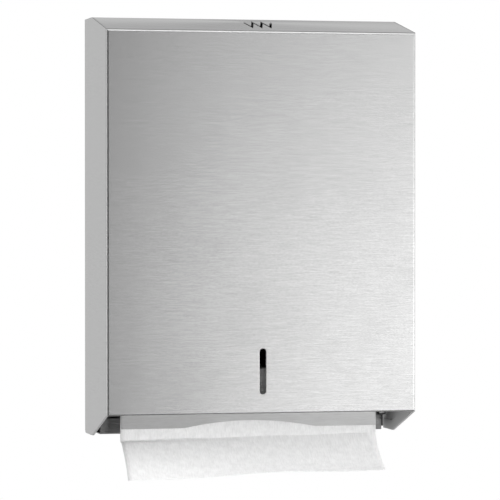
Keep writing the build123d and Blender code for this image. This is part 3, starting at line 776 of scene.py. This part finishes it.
def quarter_turn(y: float, z: float, radius: float, sign: float, steps: int = 4) -> Profile:
    """Makes the rounded bend from an upright run to a level one.

    Args:
        y: depth of the bend's centre.
        z: height of the bend's centre.
        radius: the bend's radius.
        sign: 1 where the upright run stands behind the centre, -1 where it stands in front.
        steps: how many steps the bend gets.

    Returns:
        Points round the bend, from below to above.
    """
    angles = [math.pi / 2 * i / steps for i in range(steps + 1)]
    return [(y + sign * radius * math.cos(angle), z + radius * math.sin(angle)) for angle in angles]


@dataclass
class PaperSheet:
    """One sheet of towel paper, built as columns of side-view points across the cabinet."""

    name: str
    width: float = 235.0
    thickness: float = 0.24
    columns: int = 48

    def build(self, column: Callable[[float], Profile], in_cabinet: bool = True) -> bpy.types.Object:
        """Builds the sheet with its thickness and its own UV map in metres.

        Args:
            column: gives the side-view points, in millimetres, at a place from -1 to 1 across.
            in_cabinet: whether heights are measured from the cover's lowest edge.

        Returns:
            The sheet as a plain mesh.
        """
        drop = DATUM if in_cabinet else 0.0
        profiles = [column(2 * i / self.columns - 1) for i in range(self.columns + 1)]
        rows = len(profiles[0])
        vertices = [((2 * i / self.columns - 1) * self.width / 2 * MM, y * MM, (z - drop) * MM)
                    for i, profile in enumerate(profiles) for y, z in profile]
        faces = [(i * rows + j, (i + 1) * rows + j, (i + 1) * rows + j + 1, i * rows + j + 1)
                 for i in range(self.columns) for j in range(rows - 1)]
        piece = mesh_object(self.name, vertices, faces)
        runs = [0.0]
        for (y0, z0), (y1, z1) in zip(profiles[0], profiles[0][1:]):
            runs.append(runs[-1] + math.hypot(y1 - y0, z1 - z0) * MM)
        layer = piece.data.uv_layers.new(name="sheet")
        for loop in piece.data.loops:
            i, j = divmod(loop.vertex_index, rows)
            layer.data[loop.index].uv = (i / self.columns * self.width * MM, runs[j])
        piece.data.polygons.foreach_set("use_smooth", [True] * len(piece.data.polygons))
        ply = piece.modifiers.new("ply", "SOLIDIFY")
        ply.thickness = self.thickness * MM
        ply.offset = 0.0
        return bake_modifiers(piece)


@dataclass
class Towels:
    """The paper: a low pile, the next towel's folded band and the towel that hangs out."""

    finishes: FinishBook
    width: float = 235.0
    length: float = 240.0
    front: float = -97.2
    rear: float = -14.8
    pile_front: float = -94.6
    pile_rear: float = -15.1
    shelf: float = 26.9
    ply: float = 0.24
    spacing: float = 0.35
    towels_in_pile: int = 30
    throat_front: float = -53.6

    def pile(self) -> bpy.types.Object:
        """Builds the pile of folded towels above the two that are being drawn.

        Returns:
            The pile as one piece.
        """
        half = (self.pile_rear - self.pile_front) / 2
        levels = [self.spacing * i for i in range(3)]
        line = ([(-half + 1.0, levels[0])] + half_turn(half - 0.4, levels[0], levels[1], True)
                + half_turn(-half + 0.4, levels[1], levels[2], False) + [(half - 1.0, levels[2])])
        profile = resampled(line, 2.6)
        nose = [p for p in line if abs(p[0]) > half - 0.5]
        profile = sorted_profile(line, profile, nose)
        sheet = PaperSheet("towel_pile", self.width, self.ply, 8)
        folded = sheet.build(lambda across: profile, in_cabinet=False)
        middle = (self.pile_front + self.pile_rear) / 2
        piece = pile_tree().run(folded, {
            "Material": self.finishes.materials[Slot.PAPER], "Towels": self.towels_in_pile,
            "Pitch": 3 * self.spacing * MM, "Lowest": at(0, middle, self.shelf + 2.5),
            "Depth Shift": 0.8 * MM, "Side Shift": 0.6 * MM, "Seed": 11})
        self.finish(piece, "towel_stack")
        return piece

    def band_column(self, across: float) -> Profile:
        """Side view of the next towel at a place across.

        Args:
            across: from -1 at the left to 1 at the right.

        Returns:
            Points from the hidden end behind the lip, round the band's fold and into the pile.
        """
        fold = -1.8 + 1.5 * across + 0.35 * math.sin(9 * across + 0.6)
        wave = 0.12 * math.sin(7 * across)
        front = self.throat_front + wave
        back = front + 0.45
        lift = self.shelf + 0.35
        top = self.shelf + 1.75
        nose = [(front + 0.225 - 0.225 * math.cos(math.pi * i / 6), fold - 0.225 * math.sin(math.pi * i / 6))
                for i in range(7)]
        down = [(front, 24.0 - (24.0 - fold) * i / 10) for i in range(10)]
        up = [(back, fold + (lift - 1.0 - fold) * i / 12) for i in range(1, 12)]
        bend = quarter_turn(back - 1.0, lift - 1.0, 1.0, 1.0)
        lower = [(back - 1.0 - (back - 1.0 - self.front - 0.8) * i / 12, lift) for i in range(1, 12)]
        turn = half_turn(self.front + 0.8, lift, top, False)
        upper = [(self.front + 0.8 + (self.rear - self.front - 1.6) * i / 20, top) for i in range(1, 20)]
        back_turn = half_turn(self.rear - 0.8, top, top + self.spacing, True, 4)
        tail = [(self.rear - 0.8 - 58.0 * i / 14, top + self.spacing) for i in range(1, 15)]
        return down + nose + up + bend + lower + turn + upper + back_turn + tail

    def lead_column(self, across: float) -> Profile:
        """Side view of the leading towel at a place across.

        Args:
            across: from -1 at the left to 1 at the right.

        Returns:
            Points from the hanging end, up the throat and into the pile.
        """
        share = (across + 1) / 2
        fold = -1.8 + 1.5 * across + 0.35 * math.sin(9 * across + 0.6)
        ripple = math.sin(5.2 * across + 0.9)
        behind = self.throat_front + 0.45 + 1.2
        first = (-58.5, -6.9 - 3.6 * share + 0.3 * ripple)
        second = (-75.5, -21.6 - 3.6 * share + 0.7 * ripple)
        end = (-87.0 - 0.6 * ripple, -37.0 + 5.6 * share + 0.9 * ripple + 1.2 * (1 - across * across))
        hang = through([end, second, first, (behind - 0.6, fold - 1.5), (behind, fold + 1.6)], 9)
        lift = self.shelf + 0.42
        top = fold + 1.6
        rise = [(behind, top + (lift - 0.8 - top) * i / 10) for i in range(1, 10)]
        bend = quarter_turn(behind + 0.8, lift - 0.8, 0.8, -1.0)
        lower = [(behind + 0.8 + (self.rear - 0.6 - behind - 0.8) * i / 10, lift) for i in range(1, 10)]
        turn = half_turn(self.rear - 0.6, lift, lift + 0.42, True)
        depth = self.rear - self.front - 2.4
        middle = [(self.rear - 0.6 - depth * i / 20, lift + 0.42) for i in range(1, 20)]
        front_turn = half_turn(self.front + 1.8, lift + 0.42, lift + 0.84, False, 4)
        tail = [(self.front + 1.8 + 38.0 * i / 10, lift + 0.84) for i in range(1, 11)]
        return hang + rise + bend + lower + turn + middle + front_turn + tail

    def finish(self, piece: bpy.types.Object, node: str) -> None:
        """Dresses a paper piece and sets it in place of its node.

        Args:
            piece: the paper piece.
            node: the node that it stands for.
        """
        self.finishes.dress(piece, Slot.PAPER)
        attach(piece, Body.CABINET.value)
        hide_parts(node)
        LOG.info("paper piece %s: %d faces", piece.name, len(piece.data.polygons))

    def build(self) -> None:
        """Builds the pile and both drawn towels."""
        self.pile()
        band = PaperSheet("next_towel_band", self.width, self.ply).build(self.band_column)
        self.finish(band, "next_towel")
        lead = PaperSheet("hanging_towel", self.width, self.ply).build(self.lead_column)
        self.finish(lead, "leading_towel")


def sorted_profile(line: Profile, even: Profile, nose: Profile) -> Profile:
    """Keeps a fold's own points and the even points between the folds.

    Args:
        line: the whole line in order.
        even: evenly spaced points along it.
        nose: the points of its folds.

    Returns:
        The points in their order along the line.
    """
    made: Profile = []
    for start, stop in zip(line, line[1:]):
        made.append(start)
        long_run = math.hypot(stop[0] - start[0], stop[1] - start[1]) > 5.0
        if long_run:
            between = [p for p in even if abs(p[1] - start[1]) < 0.01 and p not in nose
                       and min(start[0], stop[0]) + 1 < p[0] < max(start[0], stop[0]) - 1]
            made += sorted(between, key=lambda p: abs(p[0] - start[0]))
    return made + [line[-1]]


@dataclass
class SpotWelds:
    """The spot welds that join the sheet pieces inside."""

    finishes: FinishBook
    radius: float = 2.2
    rise: float = 0.12
    spots: dict[Body, list[tuple[Vector, Point]]] = field(default_factory=dict)

    def spot(self, body: Body, x: float, y: float, z: float, facing: Point) -> None:
        """Notes one weld.

        Args:
            body: the body that it rides on.
            x: millimetres right of the centre line.
            y: millimetres from the wall plane.
            z: millimetres above the cover's lowest edge.
            facing: direction that the weld looks in.
        """
        self.spots.setdefault(body, []).append((at(x, y, z), facing))

    def cabinet(self) -> None:
        """Notes the welds of guides, rests and brackets."""
        for side in (-1, 1):
            for z in (44.0, 88.0, 132.0, 176.0, 220.0):
                self.spot(Body.CABINET, side * 126.4, -1.8, z, (0, -1, 0))
            for y in (-84.0, -70.0):
                self.spot(Body.CABINET, side * 119.1, y, 32.4, (-side, 0, 0))
            self.spot(Body.CABINET, side * 124.3, -2.4, 13.0, (0, -1, 0))
            self.spot(Body.CABINET, 7.0 + side * 10.0, -2.4, 339.0, (0, -1, 0))
        for x in (-96.0, -48.0, 0.0, 48.0, 96.0):
            self.spot(Body.CABINET, x, -1.8, 36.5, (0, -1, 0))

    def cover(self) -> None:
        """Notes the welds of the keeper, the ears and the side flanges."""
        for side in (-1, 1):
            self.spot(Body.COVER, 7.0 + side * 7.0, -20.0, 369.9, (0, 0, -1))
            for z in (21.0, 29.0):
                self.spot(Body.COVER, side * 137.6, -8.0, z, (-side, 0, 0))
            for y in (-86.0, -70.0, -54.0):
                low = 358.0 + 14.0 * (y + 104.0) / 68.0 - 1.84
                self.spot(Body.COVER, side * 133.0, y, low, (0.0, 0.2017, -0.9794))
            for y in (-28.0, -12.0):
                self.spot(Body.COVER, side * 133.0, y, 370.2, (0, 0, -1))

    def latch(self) -> None:
        """Notes the welds of the catch on the lever."""
        for x in (2.0, 12.0):
            self.spot(Body.LATCH, x, -51.6, 350.3, (0, 0, 1))

    def build(self) -> None:
        """Builds one piece of welds for each body."""
        self.cabinet()
        self.cover()
        self.latch()
        tree = weld_tree()
        for body, spots in self.spots.items():
            points = mesh_object(f"spot_welds_{body.value}", [place for place, _ in spots], [])
            facing = points.data.attributes.new("facing", "FLOAT_VECTOR", "POINT")
            facing.data.foreach_set("vector", [value for _, aim in spots for value in aim])
            piece = tree.run(points, {
                "Material": self.finishes.materials[Slot.INNER_STEEL], "Radius": self.radius * MM,
                "Rise": self.rise * MM, "Seed": 5})
            self.finishes.dress(piece, Slot.INNER_STEEL)
            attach(piece, body.value)
            LOG.info("welds on %s: %d", body.value, len(spots))


@dataclass
class Metalwork:
    """The sheet metal, pins and washers, whose solids are dressed where they stand."""

    finishes: FinishBook
    paper_nodes: tuple[str, ...] = ("towel_stack", "next_towel", "leading_towel")

    def build(self) -> None:
        """Gives each metal and plastic node the finish that its record slot names."""
        slots = {row["node"]: row["material_slot"] for row in frame["record"]["subparts"]}
        for node, piece in frame["nodes"].items():
            if node not in self.paper_nodes:
                self.finishes.dress(piece, Slot(slots[node]))
                LOG.info("dressed %s as %s", node, slots[node])


@dataclass(frozen=True)
class Fade:
    """How a light level changes over a range of a direction's height or compass angle."""

    start: float
    end: float
    before: float
    after: float
    smooth: bool = True

    def along(self, nodes: NodeTree, value: Socket) -> Socket:
        """Adds the fade to a tree."""
        return nodes.ramp(value, self.start, self.end, self.before, self.after, self.smooth)


def compass(start: float, end: float, before: float, after: float, smooth: bool = False) -> Fade:
    """Makes a fade over degrees from straight ahead of the cabinet, positive to its right."""
    return Fade(math.radians(start), math.radians(end), before, after, smooth)


@dataclass(frozen=True)
class Dome:
    """The studio's dome, white to the camera and softly graded to everything else."""

    lean: Fade = Fade(-0.16, -0.05, math.radians(-2.8), 0.0, smooth=False)
    near: Fade = compass(7.9, 12.2, 0.04, 1.58)
    far: Fade = compass(12.2, 20.0, 0.0, 1.3)
    left: Fade = compass(-64.0, -52.0, 2.0, 0.0, smooth=True)
    upper: Fade = Fade(-0.005, 0.06, 1.0, 0.04)
    lower: Fade = Fade(-0.22, -0.06, 0.5, 1.0)
    rising: Fade = Fade(0.42, 0.52, 0.0, 1.0)
    falling: Fade = Fade(0.64, 0.76, 1.0, 0.2)
    fill: Fade = Fade(0.14, 0.3, 0.0, 0.45)
    forwards: Fade = Fade(-0.25, 0.25, 1.0, 0.0)
    behind: Fade = Fade(0.45, 0.7, 0.6, 0.35)

    def level(self, nodes: NodeTree) -> Socket:
        """Builds the light level of a direction.

        Args:
            nodes: the world's tree.

        Returns:
            The level's socket.
        """
        aim = nodes.split(nodes.add("ShaderNodeTexCoord").outputs["Generated"])
        height = aim["Z"]
        angle = nodes.math("ARCTAN2", aim["X"], nodes.math("MULTIPLY", aim["Y"], -1.0))
        leaning = nodes.math("ADD", angle, self.lean.along(nodes, height))
        right = nodes.math("ADD", self.near.along(nodes, leaning), self.far.along(nodes, angle))
        ahead = nodes.math("ADD", right, self.left.along(nodes, angle))
        haze = nodes.math("MULTIPLY", self.upper.along(nodes, height), self.lower.along(nodes, height))
        overhead = nodes.math("MULTIPLY", self.rising.along(nodes, height), self.falling.along(nodes, height))
        above = nodes.math("MAXIMUM", overhead, self.fill.along(nodes, height))
        front = nodes.math("ADD", nodes.math("MULTIPLY", ahead, haze), above)
        rear, share = self.behind.along(nodes, height), self.forwards.along(nodes, aim["Y"])
        return nodes.mix(Mix.NUMBER, share, rear, front)

    def build(self) -> None:
        """Sets the dome as the scene's world."""
        world = bpy.data.worlds.new("studio")
        world.use_nodes = True
        bpy.context.scene.world = world
        nodes = NodeTree(world.node_tree)
        white = world.node_tree.nodes["Background"]
        nodes.feed(white, {"Color": grey(1.0), "Strength": 1.0})
        soft = nodes.add("ShaderNodeBackground", {"Color": grey(1.0), "Strength": self.level(nodes)})
        seen = nodes.add("ShaderNodeLightPath").outputs["Is Camera Ray"]
        shown = nodes.add("ShaderNodeMixShader", {0: seen, 1: soft.outputs[0], 2: white.outputs[0]})
        nodes.wire(shown.outputs[0], world.node_tree.nodes["World Output"].inputs["Surface"])


@dataclass(frozen=True)
class Lamp:
    """A square soft lamp that looks at the middle of the cabinet."""

    name: str
    place: Point
    watts: float
    size: float
    mirrored: bool

    def build(self) -> None:
        """Hangs the lamp."""
        light = bpy.data.lights.new(self.name, "AREA")
        light.energy, light.shape, light.size = self.watts, "SQUARE", self.size
        holder = bpy.data.objects.new(self.name, light)
        bpy.context.scene.collection.objects.link(holder)
        holder.location = self.place
        holder.visible_glossy = self.mirrored
        holder.rotation_euler = (-Vector(self.place)).to_track_quat("-Z", "Y").to_euler()


@dataclass
class Studio:
    """Floor, painted wall shade, dome, lamps and camera."""

    floor_height: float = -1.6
    floor_reach: float = 6.0
    floor_colour: Colour = grey(0.78)
    # Colour of the painted wall shade behind the cabinet.
    shade_colour: Colour = grey(0.05)
    matt: float = 0.9
    patch_inset: float = 0.0012
    patch_depth: float = 0.0006
    camera_place: Point = (-0.622326, -2.651860, 0.015457)
    camera_yaw: float = 0.23525525
    camera_pitch: float = -0.01518584
    sensor: float = 36.0
    lens: float = 214.907
    dome: Dome = Dome()
    lamps: tuple[Lamp, ...] = (
        Lamp("soft_top", (0.5, -1.6, 2.2), 8.0, 1.6, mirrored=True),
        Lamp("soft_right", (1.5, -1.9, 0.4), 32.0, 1.4, mirrored=False),
        Lamp("soft_left", (-1.9, -1.5, -0.3), 16.0, 1.2, mirrored=False))

    def stage(self, name: str, corners: Sequence[Point],
              colour: Colour) -> tuple[NodeTree, Socket, bpy.types.Node]:
        """Stages a flat matt sheet.

        Args:
            name: the sheet's name.
            corners: its four corners in metres.
            colour: its colour.

        Returns:
            Its material's tree, its matt shader and a shader mix that shows on the sheet.
        """
        sheet = mesh_object(name, corners, [(0, 1, 2, 3)])
        material, nodes, shader = start_material(f"{name}_colour")
        nodes.feed(shader, {"Base Color": colour, "Roughness": self.matt})
        mix = nodes.add("ShaderNodeMixShader")
        nodes.wire(mix.outputs[0], material.node_tree.nodes["Material Output"].inputs["Surface"])
        sheet.data.materials.append(material)
        return nodes, shader.outputs[0], mix

    def floor(self) -> None:
        """Lays the pale floor, which is white to the camera."""
        reach, z = self.floor_reach, self.floor_height
        corners = [(-reach, -reach, z), (reach, -reach, z), (reach, reach, z), (-reach, reach, z)]
        nodes, matt, mix = self.stage("studio_floor", corners, self.floor_colour)
        glow = nodes.add("ShaderNodeEmission", {"Color": grey(1.0), "Strength": 1.0}).outputs[0]
        seen = nodes.add("ShaderNodeLightPath").outputs["Is Camera Ray"]
        nodes.feed(mix, {0: seen, 1: matt, 2: glow})

    def painted_wall_shade(self) -> None:
        """Sets a near-black card of painted shade where the wall behind the cabinet would lie in its shadow;
        the camera sees it from the front only, and other rays pass through it.
        """
        (low_x, _, low_z), (high_x, _, high_z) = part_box("front_cover")
        inset, y = self.patch_inset, self.patch_depth
        left, low, high = low_x + inset, low_z + inset, high_z - inset
        corners = [(left, y, low), (high_x, y, low), (high_x, y, high), (left, y, high)]
        # Painted shade: a near-black card behind the cabinet, shown to camera rays from the front only.
        nodes, matt, mix = self.stage("painted_wall_shade", corners, self.shade_colour)
        clear = nodes.add("ShaderNodeBsdfTransparent").outputs[0]
        seen = nodes.add("ShaderNodeLightPath").outputs["Is Camera Ray"]
        front = nodes.math("SUBTRACT", 1.0, nodes.add("ShaderNodeNewGeometry").outputs["Backfacing"])
        nodes.feed(mix, {0: nodes.math("MULTIPLY", seen, front), 1: clear, 2: matt})

    def camera(self) -> None:
        """Places the camera at the photograph's viewing angle."""
        data = bpy.data.cameras.new("camera")
        data.sensor_width, data.lens = self.sensor, self.lens
        holder = bpy.data.objects.new("camera", data)
        bpy.context.scene.collection.objects.link(holder)
        holder.location = self.camera_place
        holder.rotation_euler = (math.pi / 2 + self.camera_pitch, 0.0, -self.camera_yaw)
        bpy.context.scene.camera = holder

    def build(self) -> None:
        """Sets up the whole studio."""
        self.floor()
        self.painted_wall_shade()
        self.dome.build()
        for lamp in self.lamps:
            lamp.build()
        self.camera()
        bpy.context.scene.view_settings.view_transform = "Standard"


def main() -> None:
    """Builds the dressed dispenser and its studio."""
    logging.basicConfig(level=logging.INFO, format="%(message)s")
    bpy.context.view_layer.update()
    finishes = FinishBook()
    Metalwork(finishes).build()
    Towels(finishes).build()
    SpotWelds(finishes).build()
    Studio().build()


if __name__ == "__main__":
    main()
